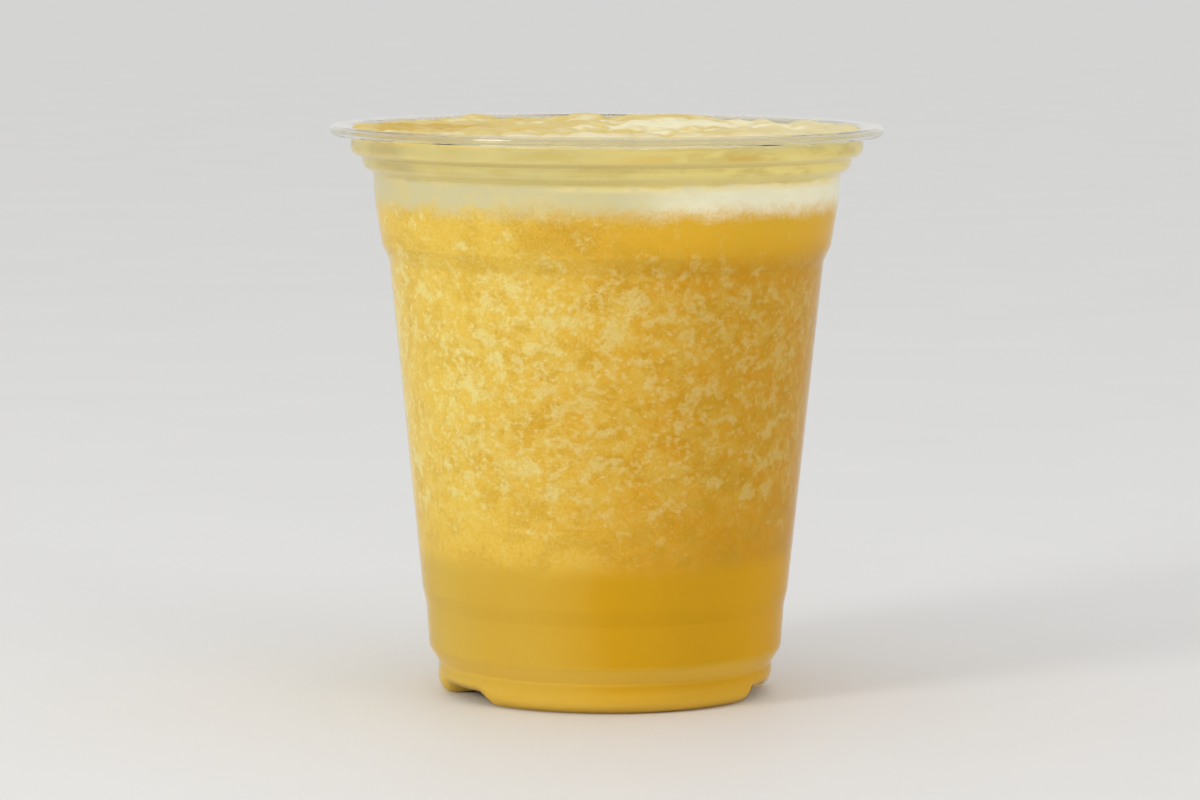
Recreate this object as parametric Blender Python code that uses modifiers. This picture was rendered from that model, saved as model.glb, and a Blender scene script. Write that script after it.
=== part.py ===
# A clear plastic cup filled to the brim with fruit smoothie.
# The cup stands on the floor at z = 0 with its axis on +Z, and its shown side faces -Y.
# The cup is one formed sheet. The drink inside it has four layers, each a solid of its own:
# settled juice, icy slush, a pale band of froth and the froth heaped at the brim.

import math

import bpy
from mathutils import Matrix

MM = 0.001

# Driving sizes of the cup. A radius here is that of the outer face of the sheet.
SHEET = 0.45 * MM
RIM_RADIUS = 49.0 * MM
RIM_TOP = 100.9 * MM
LIP_HEIGHT = 1.8 * MM
LIP_BEND = 0.9 * MM
COLLAR_RADIUS = 45.35 * MM
COLLAR_BOTTOM = 96.8 * MM
LEDGE_RADIUS = 43.05 * MM
LEDGE_TOP = 94.7 * MM
LEDGE_BOTTOM = 93.7 * MM
BAND_TOP_RADIUS = 41.25 * MM
BAND_TOP = 91.8 * MM
BAND_MIDDLE_RADIUS = 40.95 * MM
BAND_MIDDLE = 87.0 * MM
BAND_BOTTOM_RADIUS = 39.85 * MM
BAND_BOTTOM = 80.2 * MM
WALL_TOP_RADIUS = 38.45 * MM
WALL_TOP = 76.8 * MM
RIB_HEIGHT = 17.2 * MM
RIB_RADIUS = 32.45 * MM
RIB_STEP = 0.3 * MM
HEEL_RADIUS = 31.45 * MM
HEEL_TOP = 8.2 * MM
FOOT_RADIUS = 29.75 * MM
FOOT_TOP = 5.4 * MM
FOOT_FLARE = 0.15 * MM
FOOT_BEND = 3.0 * MM
STAND_WIDTH = 2.2 * MM
PANEL_RADIUS = 22.6 * MM
PANEL_RISE = 2.7 * MM
PANEL_CROWN = 0.4 * MM

# The foot ring stands on three feet, with an arch between each two. An arch's place is in
# degrees around the cup, from 0 at the front towards +X. The front foot is the widest.
ARCHES = (-62.0, 80.0, 189.0)
ARCH_HEIGHT = 2.2 * MM
ARCH_HALF_WIDTH = 18.0
ARCH_SIDE = 8.0
COLUMN_TURN = 2.0

# The drink
CLEARANCE = 0.3 * MM
JUICE_TOP = 25.3 * MM
SLUSH_TOP = 88.6 * MM
BAND_FROTH_TOP = 92.6 * MM
FROTH_EDGE = 98.7 * MM
FROTH_RINGS = 13

SEGMENTS = 60

# Mounds of the froth: place across and towards the back, height above the level, and radius, in mm.
# They stand along the far wall and at the left edge, where the froth shows above the rim.
MOUNDS = (
    (-44.0, 4.0, 2.6, 5.0),
    (-25.0, 35.0, 2.6, 5.0),
    (-4.5, 41.0, 2.7, 5.0),
    (12.0, 36.0, 2.6, 8.5),
    (26.0, 28.0, 1.3, 7.0),
    (8.0, 6.0, 1.6, 12.0),
    (-20.0, -8.0, 1.3, 10.0),
    (22.0, -16.0, 1.4, 10.0),
    (-6.0, -29.0, 1.0, 9.0),
)
CLUMP_PITCH = 13.0 * MM
CLUMP_HEIGHT = 0.4 * MM

COLOURS = {
    "cup": (0.93, 0.94, 0.95, 0.3),
    "settled_juice": (0.62, 0.36, 0.03, 1.0),
    "slush": (0.78, 0.50, 0.08, 1.0),
    "pale_froth": (0.68, 0.60, 0.35, 1.0),
    "brim_froth": (0.72, 0.55, 0.18, 1.0),
}
ROUGHNESS = {
    "cup": 0.06,
    "settled_juice": 0.3,
    "slush": 0.5,
    "pale_froth": 0.6,
    "brim_froth": 0.55,
}


def clear_scene():
    for obj in list(bpy.data.objects):
        bpy.data.objects.remove(obj, do_unlink=True)


def arc(centre_r, centre_z, radius, start, end, steps):
    """Points of an arc in the radius and height plane, from start to end in degrees."""
    turns = [math.radians(start + (end - start) * i / steps) for i in range(steps + 1)]
    return [(centre_r + radius * math.cos(a), centre_z + radius * math.sin(a)) for a in turns]


def sheet_profile():
    """The middle of the sheet, from the free end of the rolled lip to the middle of the base."""
    half = SHEET / 2
    collar = COLLAR_RADIUS - half
    lip_radius = (LIP_HEIGHT - SHEET) / 2
    lip_r = RIM_RADIUS - half - lip_radius
    lip_z = RIM_TOP - half - lip_radius
    bend_z = RIM_TOP - half - LIP_BEND
    points = [(collar + 1.5 * MM, lip_z - lip_radius)]
    points += arc(lip_r, lip_z, lip_radius, -90, 90, 4)
    points += arc(collar + LIP_BEND, bend_z, LIP_BEND, 105, 180, 2)
    points += [
        (collar, COLLAR_BOTTOM),
        (collar - 0.7 * MM, COLLAR_BOTTOM - 1.3 * MM),
        (LEDGE_RADIUS - half, LEDGE_TOP),
        (LEDGE_RADIUS - half, LEDGE_BOTTOM),
        (BAND_TOP_RADIUS - half, BAND_TOP),
        (BAND_MIDDLE_RADIUS - half, BAND_MIDDLE),
        (BAND_BOTTOM_RADIUS - half, BAND_BOTTOM),
        (WALL_TOP_RADIUS + 0.5 * MM - half, WALL_TOP + 1.5 * MM),
        (WALL_TOP_RADIUS - half, WALL_TOP),
        (RIB_RADIUS - half, RIB_HEIGHT + 0.6 * MM),
        (RIB_RADIUS - RIB_STEP - half, RIB_HEIGHT - 0.6 * MM),
        (HEEL_RADIUS - half, HEEL_TOP),
        (HEEL_RADIUS - 0.65 * MM - half, HEEL_TOP - 1.5 * MM),
        (FOOT_RADIUS - half, FOOT_TOP),
    ]
    foot_r = FOOT_RADIUS + FOOT_FLARE - half - FOOT_BEND
    points += arc(foot_r, FOOT_BEND + half, FOOT_BEND, 0, -90, 3)
    points += [
        (foot_r - STAND_WIDTH, half),
        (PANEL_RADIUS + 0.5 * MM, half + 0.4 * PANEL_RISE),
        (PANEL_RADIUS, half + PANEL_RISE),
        (0.0, half + PANEL_RISE + PANEL_CROWN),
    ]
    return points


def offset_inwards(points, distance):
    """The profile moved into the cup by a distance, corner by corner."""
    normals = []
    for (r0, z0), (r1, z1) in zip(points, points[1:]):
        length = math.hypot(r1 - r0, z1 - z0)
        normals.append(((z1 - z0) / length, (r0 - r1) / length))
    moved = []
    for i, (r, z) in enumerate(points):
        before = normals[max(i - 1, 0)]
        after = normals[min(i, len(normals) - 1)]
        nr, nz = before[0] + after[0], before[1] + after[1]
        scale = 2 * distance / (nr * nr + nz * nz)
        moved.append((max(r + nr * scale, 0.0), z + nz * scale))
    moved[-1] = (0.0, points[-1][1] + distance)
    return moved


def inner_wall():
    """The drink's side and bottom, from the froth's edge to the middle of the base."""
    sheet = sheet_profile()
    collar = COLLAR_RADIUS - SHEET / 2
    start = next(i for i, (r, z) in enumerate(sheet) if i > 5 and abs(r - collar) < 1e-6)
    wall = offset_inwards(sheet[start:], SHEET / 2 + CLEARANCE)
    return [(wall[0][0], FROTH_EDGE)] + wall[1:]


def cut_between(wall, low, high):
    """The part of a profile that runs down from one height to another, with its ends on them."""
    piece = []
    for (r0, z0), (r1, z1) in zip(wall, wall[1:]):
        for level in (high, low):
            if z0 > level >= z1:
                share = (z0 - level) / (z0 - z1)
                piece.append((r0 + (r1 - r0) * share, level))
        if low < z1 < high:
            piece.append((r1, z1))
    return piece


def turned_mesh(name, profile):
    """A mesh turned about Z from a profile at +X, top to bottom, with a point column on each arch."""
    mesh = bpy.data.meshes.new(name + "_profile")
    edges = [(i, i + 1) for i in range(len(profile) - 1)]
    mesh.from_pydata([(r, 0.0, z) for r, z in profile], edges, [])
    guide = bpy.data.objects.new(name + "_profile", mesh)
    bpy.context.scene.collection.objects.link(guide)
    screw = guide.modifiers.new("Turn", "SCREW")
    screw.axis = "Z"
    screw.angle = math.tau
    screw.steps = screw.render_steps = SEGMENTS
    screw.use_merge_vertices = True
    screw.merge_threshold = 0.00001
    graph = bpy.context.evaluated_depsgraph_get()
    turned = bpy.data.meshes.new_from_object(guide.evaluated_get(graph))
    bpy.data.objects.remove(guide, do_unlink=True)
    turned.transform(Matrix.Rotation(math.radians(COLUMN_TURN - 90.0), 4, "Z"))
    turned.name = name
    return turned


def arch_share(x, y):
    """How far into an arch of the foot ring a point lies: 0 on a foot, 1 under the arch's crown."""
    around = math.degrees(math.atan2(x, -y))
    off_centre = min(abs((around - place + 180) % 360 - 180) for place in ARCHES)
    share = min(max((ARCH_HALF_WIDTH - off_centre) / ARCH_SIDE, 0.0), 1.0)
    return share * share * (3 - 2 * share)


def raise_arches(mesh, clearance=0.0):
    """Lifts the foot ring into its arches. The lift fades out towards the heel."""
    for vertex in mesh.vertices:
        x, y, z = vertex.co
        fade = 1 - (z - clearance) / FOOT_TOP
        if fade > 0:
            vertex.co.z += ARCH_HEIGHT * arch_share(x, y) * min(fade, 1.0)


def froth_height(x, y):
    """Height of the froth above its level: the mounds, and a clumpy surface between them."""
    height = 0.0
    for across, back, rise, radius in MOUNDS:
        off = math.hypot(x - across * MM, y - back * MM) / (radius * MM)
        height += rise * MM * math.exp(-off * off)
    across, back = x / CLUMP_PITCH * math.tau, y / CLUMP_PITCH * math.tau
    wave = math.sin(across + 0.9 * math.sin(0.6 * back)) * math.cos(back + 0.8 * math.sin(0.5 * across))
    return min(height, 2.7 * MM) + CLUMP_HEIGHT * wave


def raise_froth(mesh):
    """Shapes the froth's top, which the mesh has as one flat disc at the froth's edge."""
    for vertex in mesh.vertices:
        if vertex.co.z > FROTH_EDGE - 0.01 * MM:
            vertex.co.z += froth_height(vertex.co.x, vertex.co.y)


def material(name):
    made = bpy.data.materials.new(name)
    made.use_nodes = True
    shader = made.node_tree.nodes["Principled BSDF"]
    colour = COLOURS[name]
    shader.inputs["Base Color"].default_value = (*colour[:3], 1.0)
    shader.inputs["Alpha"].default_value = colour[3]
    shader.inputs["Roughness"].default_value = ROUGHNESS[name]
    shader.inputs["Metallic"].default_value = 0.0
    return made


def add_part(name, mesh, collection):
    mesh.shade_smooth()
    mesh.set_sharp_from_angle(angle=math.radians(50))
    obj = bpy.data.objects.new(name, mesh)
    obj.data.materials.clear()
    obj.data.materials.append(material(name))
    collection.objects.link(obj)
    return obj


def build_cup(collection):
    mesh = turned_mesh("cup", sheet_profile())
    raise_arches(mesh)
    cup = add_part("cup", mesh, collection)
    walls = cup.modifiers.new("Sheet", "SOLIDIFY")
    walls.thickness = SHEET
    walls.offset = 0.0
    walls.use_even_offset = True
    return cup


def build_layer(name, low, high, collection):
    """One level layer of the drink, from its flat bottom, or the cup's base, to its flat top."""
    side = cut_between(inner_wall(), low, high)
    profile = [(0.0, high)] + side
    if low > 0:
        profile.append((0.0, low))
    mesh = turned_mesh(name, profile)
    if low <= 0:
        raise_arches(mesh, SHEET / 2 + CLEARANCE)
    return add_part(name, mesh, collection)


def build_froth(collection):
    """The froth heaped at the brim, up to its uneven top."""
    side = cut_between(inner_wall(), BAND_FROTH_TOP, FROTH_EDGE)
    edge = side[0][0]
    rings = [(edge * i / FROTH_RINGS, FROTH_EDGE) for i in range(FROTH_RINGS)]
    mesh = turned_mesh("brim_froth", rings + side + [(0.0, BAND_FROTH_TOP)])
    raise_froth(mesh)
    return add_part("brim_froth", mesh, collection)


def build():
    clear_scene()
    collection = bpy.data.collections.new("cup_of_smoothie")
    bpy.context.scene.collection.children.link(collection)
    build_cup(collection)
    build_layer("settled_juice", 0.0, JUICE_TOP - CLEARANCE, collection)
    build_layer("slush", JUICE_TOP, SLUSH_TOP - CLEARANCE, collection)
    build_layer("pale_froth", SLUSH_TOP, BAND_FROTH_TOP - CLEARANCE, collection)
    build_froth(collection)


build()
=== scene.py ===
# The looks of a clear plastic cup of fruit smoothie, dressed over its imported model.

import math

import bmesh
import bpy
from mathutils import Matrix, Vector, noise


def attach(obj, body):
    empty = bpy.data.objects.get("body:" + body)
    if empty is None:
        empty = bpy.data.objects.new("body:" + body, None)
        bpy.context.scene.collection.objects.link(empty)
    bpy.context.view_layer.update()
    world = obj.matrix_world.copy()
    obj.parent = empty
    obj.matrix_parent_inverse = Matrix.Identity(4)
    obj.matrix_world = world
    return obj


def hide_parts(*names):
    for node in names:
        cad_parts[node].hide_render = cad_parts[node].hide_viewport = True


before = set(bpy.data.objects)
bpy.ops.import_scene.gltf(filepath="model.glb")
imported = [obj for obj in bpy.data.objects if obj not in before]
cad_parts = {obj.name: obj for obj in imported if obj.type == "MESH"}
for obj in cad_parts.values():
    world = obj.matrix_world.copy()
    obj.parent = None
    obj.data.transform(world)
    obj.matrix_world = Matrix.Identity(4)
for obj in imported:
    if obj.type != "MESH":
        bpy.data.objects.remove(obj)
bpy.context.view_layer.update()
print("frame loaded")

mm = 0.001
sharpTurn = 55  # degrees, past which an edge stays crisp

# The cup. Heights, radii and roundings are in mm, and each radius is that of the sheet's outer face.
cup = {
    "sheet": 0.45,
    "steps": 288,
    "rimRadius": 48.98,
    "rimTop": 100.9,
    "lipHeight": 1.8,
    "lipBend": 0.9,
    "lipSlope": 5.0,
    "freeEnd": (1.5, 2.1),  # of the lip, out from the collar
    "collarRadius": 45.35,
    "collarTop": 99.0,
    "wall": (  # radius, height, rounding
        (45.35, 96.2, 1.3),
        (43.4, 95.4, 0.3),
        (43.2, 93.7, 1.7),
        (41.4, 92.6, 0.5),
        (41.05, 87.6, 5.0),
        (39.8, 79.9, 1.6),
        (38.5, 77.0, 2.2),
        (32.6, 18.6, 2.5),
        (31.95, 15.8, 2.5),
        (31.45, 8.3, 2.2),
        (29.72, 5.5, 0.5),
        (29.9, 0.0, 3.0),
        (24.3, 0.0, 0.5),
        (22.8, 2.75, 0.6),
    ),
    "crown": 0.4,
    "arches": (  # degrees from the front towards +X, degrees that a side takes to rise
        (-60.0, 8.0),
        (77.0, 3.5),
        (189.0, 6.0),
    ),
    "archHeight": 2.2,
    "archHalfWidth": 18.0,  # degrees
    "footTop": 5.4,
}

# The drink. It reaches just into the sheet, so no air shows between them.
drink = {
    "reach": 0.1,
    "juiceTop": 25.15,
    "slushTop": 88.45,
    "paleTop": 92.45,
    "edge": 98.75,
    "layerGrid": 4.0,
    "brimGrid": 0.5,
    "brimSteps": 480,
    "rings": 90,
    "heap": 2.55,  # the most that the froth stands above its edge
    "dip": 0.3,  # the most that it falls below it
    "swell": (8.0, 0.7),  # size, rise
    "curds": ((5.5, 1.5), (2.4, 0.5)),  # size, rise
    "curdSpread": 0.8,
    "wallFall": (3.0, 0.7),  # reach, depth
    "relief": 0.06,
    "roughness": 0.45,
    "shine": 0.12,
    "mounds": (  # across, back, rise, radius
        (-42.5, 3.0, 1.5, 4.0),
        (-38.0, 18.0, 0.7, 8.0),
        (-31.0, 29.0, 0.6, 7.5),
        (-24.0, 36.0, 3.0, 3.2),
        (-4.5, 41.0, 3.2, 3.8),
        (12.0, 38.0, 2.8, 8.0),
        (27.0, 32.0, 0.3, 7.0),
        (38.0, 20.0, 1.0, 8.0),
        (41.0, 4.0, 0.8, 6.0),
        (15.0, 16.0, 1.6, 9.0),
        (-9.0, 14.0, 0.8, 10.0),
        (-20.0, -8.0, 1.0, 10.0),
        (22.0, -16.0, 1.1, 10.0),
        (-6.0, -29.0, 0.8, 9.0),
    ),
}


# Points that round a corner of a path
def fillet(before, corner, after, radius, steps=7):
    toBefore = (Vector(before) - Vector(corner))
    toAfter = (Vector(after) - Vector(corner))
    half = toBefore.angle(toAfter) / 2
    reach = min(radius / math.tan(half), toBefore.length * 0.48, toAfter.length * 0.48)
    radius = reach * math.tan(half)
    toBefore.normalize()
    toAfter.normalize()
    centre = Vector(corner) + (toBefore + toAfter).normalized() * radius / math.sin(half)
    start = Vector(corner) + toBefore * reach - centre
    end = Vector(corner) + toAfter * reach - centre
    return [tuple(centre + start.slerp(end, i / steps) * radius) for i in range(steps + 1)]


def arc(centre, radius, start, end, steps):
    turns = [math.radians(start + (end - start) * i / steps) for i in range(steps + 1)]
    return [(centre[0] + radius * math.cos(a), centre[1] + radius * math.sin(a)) for a in turns]


# The rolled lip: its free end, the roll, a flange that falls a little inwards and the bend into the collar
def lipPath(collar, top):
    bend, roll = cup["lipBend"], (cup["lipHeight"] - cup["sheet"]) / 2
    slope = math.radians(cup["lipSlope"])
    outer, inner = cup["rimRadius"] - cup["sheet"] / 2 - roll, collar + bend
    drop = (bend - roll + (outer - inner) * math.sin(slope)) / math.cos(slope)
    path = [(collar + out, top - 2 * roll) for out in cup["freeEnd"]]
    path += arc((outer, top - roll), roll, -90, 90 + cup["lipSlope"], 14)
    return path + arc((inner, top - roll - drop), bend, 90 + cup["lipSlope"], 180, 8)


# The middle of the cup's sheet, from the free end of its lip to the middle of its base
def sheetPath():
    half = cup["sheet"] / 2
    collar = cup["collarRadius"] - half
    path = lipPath(collar, cup["rimTop"] - half)
    corners = [(collar, cup["collarTop"])]
    corners += [(r - half, z) if z > 0 else (r - half, half) for r, z, _ in cup["wall"]]
    panelRadius, panelHeight, _ = cup["wall"][-1]
    corners[-1] = (panelRadius - half, panelHeight + half)
    corners.append((0.0, corners[-1][1] + cup["crown"]))
    for i, (_, _, rounding) in enumerate(cup["wall"]):
        path += fillet(corners[i], corners[i + 1], corners[i + 2], rounding)
    path.append(corners[-1])
    return path


# The path moved into the cup, corner by corner
def movedIn(path, distance):
    normals = []
    for a, b in zip(path, path[1:]):
        along = Vector(b) - Vector(a)
        normals.append(Vector((along.y, -along.x)).normalized())
    moved = []
    for i, point in enumerate(path):
        across = normals[max(i - 1, 0)] + normals[min(i, len(normals) - 1)]
        moved.append(Vector(point) + across * (2 * distance / across.length_squared))
    moved[-1].x = 0.0
    return [(max(p.x, 0.0), p.y) for p in moved]


# The drink's side between two heights, or down to the middle of the base
def drinkSide(low, high):
    half = cup["sheet"] / 2
    path = sheetPath()
    start = next(i for i, p in enumerate(path) if i > 20 and abs(p[0] - cup["collarRadius"] + half) < 0.001)
    side = movedIn(path[start:], half - drink["reach"])
    side[0] = (side[0][0], high + 1.0) if high > side[0][1] else side[0]
    piece = []
    for (r0, z0), (r1, z1) in zip(side, side[1:]):
        for level in (high, low):
            if z0 > level >= z1:
                share = (z0 - level) / (z0 - z1)
                piece.append((r0 + (r1 - r0) * share, level))
        if low < z1 < high:
            piece.append((r1, z1))
    return piece


# The path with its long stretches divided
def divided(path, longest):
    finer = [path[0]]
    for a, b in zip(path, path[1:]):
        parts = max(1, math.ceil(math.dist(a, b) / longest))
        for i in range(1, parts + 1):
            finer.append((a[0] + (b[0] - a[0]) * i / parts, a[1] + (b[1] - a[1]) * i / parts))
    return finer


# A mesh turned about the cup's axis from a path in mm
def turned(name, path, steps):
    bm = bmesh.new()
    chain = [bm.verts.new((0.0, -r * mm, z * mm)) for r, z in path]
    edges = [bm.edges.new(pair) for pair in zip(chain, chain[1:])]
    bmesh.ops.spin(
        bm, geom=chain + edges, cent=(0, 0, 0), axis=(0, 0, 1), angle=math.tau, steps=steps, use_merge=True
    )
    bmesh.ops.remove_doubles(bm, verts=bm.verts, dist=0.000002)
    bmesh.ops.recalc_face_normals(bm, faces=bm.faces)
    mesh = bpy.data.meshes.new(name)
    bm.to_mesh(mesh)
    bm.free()
    mesh.shade_smooth()
    mesh.set_sharp_from_angle(angle=math.radians(sharpTurn))
    return mesh


# Lifts the foot ring over its arches, and less so towards the heel
def liftArches(mesh):
    for vertex in mesh.vertices:
        x, y, z = vertex.co / mm
        fade = 1 - z / cup["footTop"]
        if fade <= 0:
            continue
        around = math.degrees(math.atan2(x, -y))
        offs = [(abs((around - place + 180) % 360 - 180), side) for place, side in cup["arches"]]
        off, side = min(offs)
        share = min(max((cup["archHalfWidth"] - off) / side, 0.0), 1.0)
        vertex.co.z += cup["archHeight"] * mm * share * share * (3 - 2 * share) * min(fade, 1.0)


def addPiece(name, mesh, finish, nodes):
    piece = bpy.data.objects.new(name, mesh)
    bpy.context.scene.collection.objects.link(piece)
    piece.data.materials.append(finish)
    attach(piece, "root")
    for node in nodes:
        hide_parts(node)
    return piece


# A node's output that can stand in a sum
class Socket:

    def __init__(self, finish, output):
        self.finish, self.output = finish, output

    def maths(self, operation, *terms):
        return self.finish.node("Math", {"operation": operation}, dict(enumerate(terms)))

    def __add__(self, other):
        return self.maths("ADD", self, other)

    def __sub__(self, other):
        return self.maths("SUBTRACT", self, other)

    def __rsub__(self, other):
        return self.maths("SUBTRACT", other, self)

    def __mul__(self, other):
        return self.maths("MULTIPLY", self, other)

    __radd__ = __add__
    __rmul__ = __mul__

    def over(self, other):
        return self.maths("MAXIMUM", self, other)

    # 0 below low and 1 above high, with a soft change between. The two may be the other way round
    def step(self, low, high):
        if low > high:
            return 1 - self.step(high, low)
        settings = {"interpolation_type": "SMOOTHSTEP", "clamp": True}
        return self.finish.node("MapRange", settings, {"Value": self, "From Min": low, "From Max": high})


# A material made node by node. Its places are in mm
class Finish:

    def __init__(self, name):
        self.material = bpy.data.materials.new(name)
        self.material.use_nodes = True
        self.tree = self.material.node_tree
        self.tree.nodes.clear()
        place = self.node("TexCoord", {}, {}, "Object")
        self.place = self.node("VectorMath", {"operation": "SCALE"}, {0: place, "Scale": 1000.0})
        self.x = self.node("SeparateXYZ", {}, {0: self.place}, "X")
        self.y = self.node("SeparateXYZ", {}, {0: self.place}, "Y")
        self.z = self.node("SeparateXYZ", {}, {0: self.place}, "Z")

    def node(self, kind, settings, values, output=0):
        made = self.tree.nodes.new("ShaderNode" + kind)
        for key, value in settings.items():
            setattr(made, key, value)
        for key, value in values.items():
            if isinstance(value, Socket):
                self.tree.links.new(value.output, made.inputs[key])
            else:
                made.inputs[key].default_value = value
        return Socket(self, made.outputs[output]) if made.outputs else None

    # Cloudy noise from 0 to 1, with lumps of a size in mm
    def noise(self, size, detail=2.0, rough=0.5, place=None):
        values = {"Vector": place or self.place, "Scale": 1 / size, "Detail": detail, "Roughness": rough}
        return self.node("TexNoise", {}, values, "Fac")

    # The place moved and stretched, for a second pattern that doesn't line up with the first
    def shifted(self, move, stretch=(1, 1, 1)):
        moved = self.node("VectorMath", {"operation": "ADD"}, {0: self.place, 1: move})
        return self.node("VectorMath", {"operation": "MULTIPLY"}, {0: moved, 1: stretch})

    # 1 at a place in mm, fading to 0 at a radius round it
    def spot(self, middle, radius):
        off = self.node("VectorMath", {"operation": "DISTANCE"}, {0: self.place, 1: middle}, "Value")
        return off.step(radius, 0.0)

    # The first colour at 0 and the second at 1
    def mix(self, share, first, second):
        values = {0: share, 6: first, 7: second}
        return self.node("Mix", {"data_type": "RGBA", "clamp_factor": True}, values, 2)

    def bump(self, height, distance):
        return self.node("Bump", {}, {"Height": height, "Distance": distance * mm, "Strength": 1.0})

    def surface(self, values):
        return self.node("BsdfPrincipled", {}, values)

    def finish(self, shader):
        self.node("OutputMaterial", {}, {"Surface": shader})
        return self.material


# A colour from its 0 to 255 values on a screen
def tint(*screen):
    shares = [value / 255 for value in screen]
    linear = [s / 12.92 if s <= 0.04045 else ((s + 0.055) / 1.055) ** 2.4 for s in shares]
    return (*linear, 1.0)


# The clear sheet. Its lip and neck are glossier than its wall, and its lip is a little darker.
# Light that is caught in the sheet past the longest path goes straight on
plastic = {
    "colour": tint(247, 249, 250),
    "lip": tint(238, 234, 218),
    "lipFrom": (99.2, 99.8),
    "shadow": tint(250, 250, 250),
    "roughness": 0.05,
    "haze": 0.04,
    "ior": 1.12,
    "wave": 0.02,
    "neckFrom": (90.0, 93.0),
    "gloss": 0.2,
    "lipGloss": 0.6,
    "coatRoughness": 0.05,
    "longestPath": (4.5, 5.5),
}


def clearPlastic():
    f = Finish("clearPlastic")
    drawn = f.noise(9.0, 2.0, 0.5, f.shifted((3, 7, 1), (1, 1, 0.25)))
    haze = f.noise(5.0, 3.0).step(0.35, 0.75)
    neck, lip = f.z.step(*plastic["neckFrom"]), f.z.step(*plastic["lipFrom"])
    clear = f.surface({
        "Base Color": f.mix(lip, plastic["colour"], plastic["lip"]),
        "Roughness": haze * plastic["haze"] + plastic["roughness"],
        "IOR": plastic["ior"],
        "Transmission Weight": 1.0,
        "Coat Weight": neck * plastic["gloss"] + lip * plastic["lipGloss"],
        "Coat Roughness": plastic["coatRoughness"],
        "Normal": f.bump(drawn, plastic["wave"]),
    })
    shadow = f.node("LightPath", {}, {}, "Is Shadow Ray")
    caught = f.node("LightPath", {}, {}, "Ray Depth").step(*plastic["longestPath"])
    through = f.node("BsdfTransparent", {}, {"Color": plastic["shadow"]})
    return f.finish(f.node("MixShader", {}, {0: shadow.over(caught), 1: clear, 2: through}))


# The colours of the drink from its foot to its brim. Lower down they are painted lit towards -X and painted
# in shade, a deeper amber, towards +X; the neck and the pale froth are painted lighter towards +X, as if
# light came through them
tones = {
    "juiceLit": tint(217, 182, 76),
    "juiceShadedDeep": tint(211, 158, 14),
    "juiceEdgeLight": tint(226, 168, 10),
    "heel": tint(240, 196, 80),
    "slushLit": tint(237, 200, 82),
    "slushShadedDeep": tint(212, 151, 14),
    "slushUpperLight": tint(245, 194, 52),
    "shade": tint(202, 152, 24),
    "pulpLit": tint(240, 211, 108),
    "pulpShadedDeep": tint(214, 169, 58),
    "iceLit": tint(238, 226, 150),
    "iceShadedDeep": tint(220, 189, 110),
    "pale": tint(213, 203, 157),
    "paleLitThrough": tint(254, 247, 216),
    "paleWarm": tint(224, 205, 136),
    "neck": tint(215, 200, 132),
    "neckLitThrough": tint(246, 226, 140),
    "neckShade": tint(208, 184, 98),
    "neckGrey": tint(190, 172, 118),
    "underLedgeLight": tint(252, 232, 156),
    "stain": tint(224, 190, 96),
    "top": tint(231, 206, 124),
    "topTan": tint(238, 226, 178),
    "topPale": tint(250, 241, 204),
    "topCreamHighlight": tint(252, 244, 204),
    "topAmber": tint(216, 180, 82),
}


# Iced pulp: soft mottling, flecks of ice in two sizes that crowd at mid height, and a fine grain
def slushColour(f, side, grain):
    slow = f.noise(12.0, 3.0, 0.55, f.shifted((11, 5, 2)))
    colour = f.mix(side + (slow - 0.5) * 0.5, tones["slushLit"], tones["slushShadedDeep"])
    pulp = f.mix(side, tones["pulpLit"], tones["pulpShadedDeep"])
    ice = f.mix(side, tones["iceLit"], tones["iceShadedDeep"])
    midway = f.z.step(26.0, 46.0) * f.z.step(85.0, 70.0)
    crowd = f.noise(16.0, 1.0, 0.5, f.shifted((7, 31, 17)))
    here = midway * 0.06 + (crowd - 0.5) * 0.14
    mottle = f.noise(3.6, 6.0, 0.66, f.shifted((40, 3, 9), (1, 1, 1.25))) + here * 0.5
    shade = f.noise(6.0, 5.0, 0.6, f.shifted((2, 47, 5), (1, 1, 1.3)))
    small = f.noise(1.7, 3.0, 0.6, f.shifted((2, 17, 5), (1, 1, 1.2))) + here
    large = f.noise(3.7, 6.0, 0.6, f.shifted((23, 8, 31), (1, 1, 1.2))) + here
    colour = f.mix(shade.step(0.54, 0.4) * (side * 0.5 + 0.2), colour, tones["shade"])
    colour = f.mix(mottle.step(0.45, 0.65) * (midway * 0.5 + 0.2), colour, pulp)
    dust = small.step(0.57, 0.73) * (midway * 0.55 + 0.12) * (1.1 - side * 0.35)
    colour = f.mix(dust, colour, ice)
    fleck = large.step(0.57, 0.69) * (grain * 0.8 + 0.3) * (0.9 - side * 0.1) * f.z.step(27.0, 34.0)
    colour = f.mix(fleck, colour, ice)
    colour = f.mix(grain.step(0.5, 0.75) * 0.3, colour, ice)
    colour = f.mix(grain.step(0.5, 0.25) * 0.3, colour, tones["shade"])
    # Painted light high up towards +X, where the side would be in shade
    return f.mix(f.z.step(76.0, 84.0) * side.step(0.45, 1.0) * 0.65, colour, tones["slushUpperLight"])


# Settled juice: smooth, with faint streaks down it, and painted light at the heel and the foot, whose
# undersides and arches would be in shade
def juiceColour(f, side):
    streak = f.noise(4.0, 2.0, 0.5, f.shifted((5, 5, 5), (1, 1, 0.08)))
    juice = f.mix(side * 1.5 + (streak - 0.5) * 0.15, tones["juiceLit"], tones["juiceShadedDeep"])
    # Painted light on the far +X edge, where the form would be in shade
    juice = f.mix(f.x.step(12.0, 30.0) * 0.8, juice, tones["juiceEdgeLight"])
    # Painted light at the heel's underside and over the foot, where shade would fall
    heel = f.z.step(4.6, 6.0) * f.z.step(9.0, 7.4) * 0.6
    foot = f.z.step(5.0, 3.0) * 0.3 + f.z.step(2.8, 1.2) * 0.3
    return f.mix(heel + foot, juice, tones["heel"])
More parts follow.
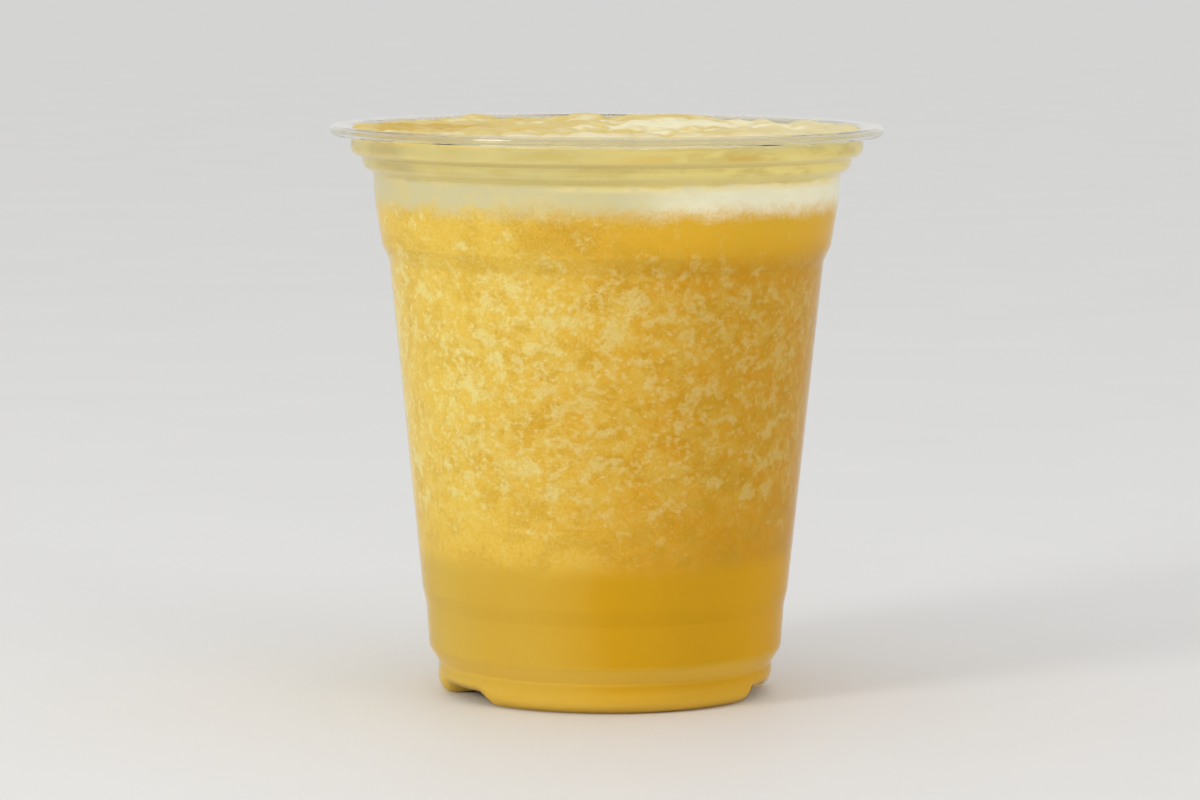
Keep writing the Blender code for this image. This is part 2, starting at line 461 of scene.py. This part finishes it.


# The pale froth under the neck, painted lighter towards +X as if light came through it, with a painted
# light line under the ledge
def bandColour(f, side, wisps):
    # Painted light towards +X, as if light came through the froth
    pale = f.mix(side.step(0.6, 1.0), tones["pale"], tones["paleLitThrough"])
    pale = f.mix(wisps.step(0.58, 0.4) * (0.6 - side * 0.5), pale, tones["paleWarm"])
    # Painted light in a line under the ledge
    line = f.z.step(90.8, 91.6) * wisps.step(0.36, 0.56) * side.step(0.3, 0.6)
    return f.mix(line * 0.5, pale, tones["underLedgeLight"])


# The tan neck: amber stains over its upper ledge, mostly towards +X, a grey patch towards -X,
# painted light towards +X, as if light came through it, and painted light under each ledge, where less
# light would come
def neckColour(f, side):
    bands = f.noise(9.0, 4.0, 0.55, f.shifted((9, 2, 4), (1, 1, 3)))
    # Painted light towards +X, as if light came through the neck
    neck = f.mix(side.step(0.3, 1.0), tones["neck"], tones["neckLitThrough"])
    neck = f.mix(bands.step(0.56, 0.4) * 0.5, neck, tones["neckShade"])
    patch = f.spot((-37.5, -22.5, 94.8), 10.0) * bands.step(0.3, 0.5)
    neck = f.mix(patch.step(0.0, 0.6) * 0.7, neck, tones["neckGrey"])
    smears = f.noise(11.0, 3.0, 0.6, f.shifted((31, 4, 8), (1, 1, 2.5))).step(0.34, 0.54)
    ledge = f.z.step(95.2, 96.2) * f.z.step(98.4, 96.8)
    amber = f.spot((18.0, -41.0, 97.0), 26.0) * 0.8 + 0.2
    neck = f.mix(smears * ledge * amber, neck, tones["stain"])
    # Painted light under each ledge, where shade would fall
    under = f.z.step(95.0, 95.4) * f.z.step(96.9, 96.0) + f.z.step(92.4, 92.8) * f.z.step(94.1, 93.4)
    return f.mix(under * 0.75, neck, tones["underLedgeLight"])


# The heaped top: cream curds towards the back and +X, partly real cream and partly painted highlight, and
# more of them higher up, amber froth towards -X, pale froth in front
def heapColour(f):
    fine = f.noise(3.0, 4.0, 0.6, f.shifted((13, 6, 21)))
    curd = f.noise(8.0, 3.0, 0.5, f.shifted((3, 16, 2))) * 0.75 + fine * 0.25 + (f.z - 99.8) * 0.04
    curd = curd + f.spot((13.0, 14.0, 100.0), 26.0) * 0.28 - f.spot((-32.0, 7.0, 99.0), 20.0) * 0.3
    heap = f.mix(curd.step(0.26, 0.46), tones["topAmber"], tones["top"])
    heap = f.mix(f.x.step(14.0, 36.0) * 0.8, heap, tones["topTan"])
    front = f.y.step(-16.0, -34.0) * f.x.step(-36.0, -18.0) * f.z.step(98.5, 99.2)
    heap = f.mix(front * (curd.step(0.2, 0.5) * 0.3 + 0.5), heap, tones["topPale"])
    # Cream curds, brightened as painted highlight
    return f.mix(curd.step(0.53, 0.73), heap, tones["topCreamHighlight"])


# The drink's finish. It changes with height, so the layers run into each other without a seam
def smoothie(name):
    f = Finish(name)
    cloud = f.noise(26.0, 2.0, 0.5)
    # side: 0 towards -X and 1 towards +X, the share of painted shade across the drink, or of painted light
    # through the neck and froth
    side = (f.x + (cloud - 0.5) * 30.0).step(-42.0, 31.0)
    grain = f.noise(0.5, 2.0, 0.7)
    wisps = f.noise(5.0, 5.0, 0.62, f.shifted((9, 2, 4), (1, 1, 1.6)))
    settle = (f.z + (f.noise(7.0, 3.0) - 0.5) * 3.0 - (grain - 0.5) * 2.0).step(23.4, 27.6)
    colour = f.mix(settle, juiceColour(f, side), slushColour(f, side, grain))
    rise = (f.z + (wisps - 0.5) * 3.6 + (grain - 0.5) * 2.0).step(85.2, 89.6)
    colour = f.mix(rise, colour, bandColour(f, side, wisps))
    colour = f.mix((f.z + (wisps - 0.5) * 2.0).step(91.6, 92.8), colour, neckColour(f, side))
    colour = f.mix((f.z + (wisps - 0.5) * 1.2).step(97.9, 99.1), colour, heapColour(f))
    return f.finish(f.surface({
        "Base Color": colour,
        "Roughness": drink["roughness"],
        "Specular IOR Level": drink["shine"],
        "Normal": f.bump(grain * 0.4 + wisps * 0.6, drink["relief"]),
    }))


def buildCup():
    mesh = turned("cupSheet", sheetPath(), cup["steps"])
    liftArches(mesh)
    piece = addPiece("cupSheet", mesh, clearPlastic(), ["cup"])
    wall = piece.modifiers.new("sheet", "SOLIDIFY")
    wall.thickness = cup["sheet"] * mm
    wall.offset = 0.0
    wall.use_even_offset = True


def buildLayer(name, low, high, node):
    side = divided(drinkSide(low, high), drink["layerGrid"])
    path = [(0.0, high)] + side + ([(0.0, low)] if low > 0 else [])
    mesh = turned(name, path, cup["steps"])
    if low <= 0:
        liftArches(mesh)
    addPiece(name, mesh, smoothie(name), [node])


# Height of the brim's froth above its edge, in mm: mounds, curds and small lumps
def frothHeight(x, y, edge):
    height = 0.0
    for across, back, rise, radius in drink["mounds"]:
        off = math.hypot(x - across, y - back) / radius
        height += rise * math.exp(-off * off)
    at = Vector((x, y, 3.0))
    size, rise = drink["swell"]
    height += rise * noise.fractal(at / size, 1.0, 2.0, 2)
    for size, rise in drink["curds"]:
        off = noise.voronoi(at / size)[0][0] / drink["curdSpread"]
        height += rise * max(1.0 - off * off, 0.0)
    reach, depth = drink["wallFall"]
    wall = max(0.0, (math.hypot(x, y) - edge + reach) / reach)
    height -= wall * wall * depth
    limit = drink["heap"] if height > 0 else drink["dip"]
    return limit * math.tanh(height / limit)


def buildBrim():
    low = drink["paleTop"]
    side = divided(drinkSide(low, drink["edge"]), drink["brimGrid"])
    edge = side[0][0]
    rings = [(edge * i / drink["rings"], drink["edge"]) for i in range(drink["rings"])]
    mesh = turned("heapedFroth", rings + side + [(0.0, low)], drink["brimSteps"])
    for vertex in mesh.vertices:
        x, y, z = vertex.co / mm
        if z > drink["edge"] - 0.01:
            vertex.co.z = (z + frothHeight(x, y, edge)) * mm
    addPiece("heapedFroth", mesh, smoothie("heapedFroth"), ["brim_froth"])


def buildDrink():
    buildLayer("settledJuice", 0.0, drink["juiceTop"], "settled_juice")
    buildLayer("icySlush", drink["juiceTop"], drink["slushTop"], "slush")
    buildLayer("paleFroth", drink["slushTop"], drink["paleTop"], "pale_froth")
    buildBrim()


# The floor, the lights and the camera
stage = {
    "floor": (tint(238, 238, 239), tint(243, 243, 243)),
    "floorRadius": 40.0,
    "world": (1.0, 0.995, 0.98, 1.0),
    "worldStrength": 0.74,
    "lightTarget": (0.0, 0.0, 0.05),
    "lights": (  # name, place, size, watts, colour, whether glossy surfaces mirror it
        ("windowLight", (-0.78, -0.66, 0.55), 0.32, 3.3, (1.0, 0.98, 0.95), True),
        ("fillLight", (0.9, -0.85, 0.35), 0.8, 2.3, (1.0, 0.99, 0.97), False),
    ),
}


def buildFloor():
    bm = bmesh.new()
    bmesh.ops.create_circle(bm, cap_ends=True, segments=64, radius=stage["floorRadius"])
    mesh = bpy.data.meshes.new("paleFloor")
    bm.to_mesh(mesh)
    bm.free()
    f = Finish("paleFloor")
    colour = f.mix(f.noise(60.0, 3.0), *stage["floor"])
    mesh.materials.append(f.finish(f.surface({"Base Color": colour, "Roughness": 0.6})))
    floor = bpy.data.objects.new("paleFloor", mesh)
    bpy.context.scene.collection.objects.link(floor)


def buildLights():
    world = bpy.data.worlds.new("softRoom")
    world.use_nodes = True
    glow = world.node_tree.nodes["Background"]
    glow.inputs["Color"].default_value = stage["world"]
    glow.inputs["Strength"].default_value = stage["worldStrength"]
    bpy.context.scene.world = world
    for name, place, size, watts, colour, mirrored in stage["lights"]:
        light = bpy.data.lights.new(name, "AREA")
        light.shape = "DISK"
        light.size = size
        light.energy = watts
        light.color = colour
        lamp = bpy.data.objects.new(name, light)
        lamp.location = place
        lamp.visible_glossy = mirrored
        aim = Vector(stage["lightTarget"]) - Vector(place)
        lamp.rotation_euler = aim.to_track_quat("-Z", "Y").to_euler()
        bpy.context.scene.collection.objects.link(lamp)


# The camera's place in m, its turns in degrees and its focal length in mm
view = {"place": (-0.00105, -0.831, 0.1389), "down": 5.98, "roll": 0.2, "focal": 140.8}


def buildCamera():
    lens = bpy.data.cameras.new("photoView")
    lens.lens = view["focal"]
    lens.sensor_width = 36.0
    lens.clip_start = 0.02
    camera = bpy.data.objects.new("photoView", lens)
    tilt = Matrix.Rotation(math.radians(90 - view["down"]), 4, "X")
    roll = Matrix.Rotation(math.radians(view["roll"]), 4, "Z")
    camera.matrix_world = Matrix.Translation(view["place"]) @ tilt @ roll
    bpy.context.scene.collection.objects.link(camera)
    bpy.context.scene.camera = camera


bpy.context.scene.view_settings.view_transform = "Standard"
buildCup()
print("cup made")
buildDrink()
print("drink made")
buildFloor()
buildLights()
buildCamera()
print("stage and camera made")
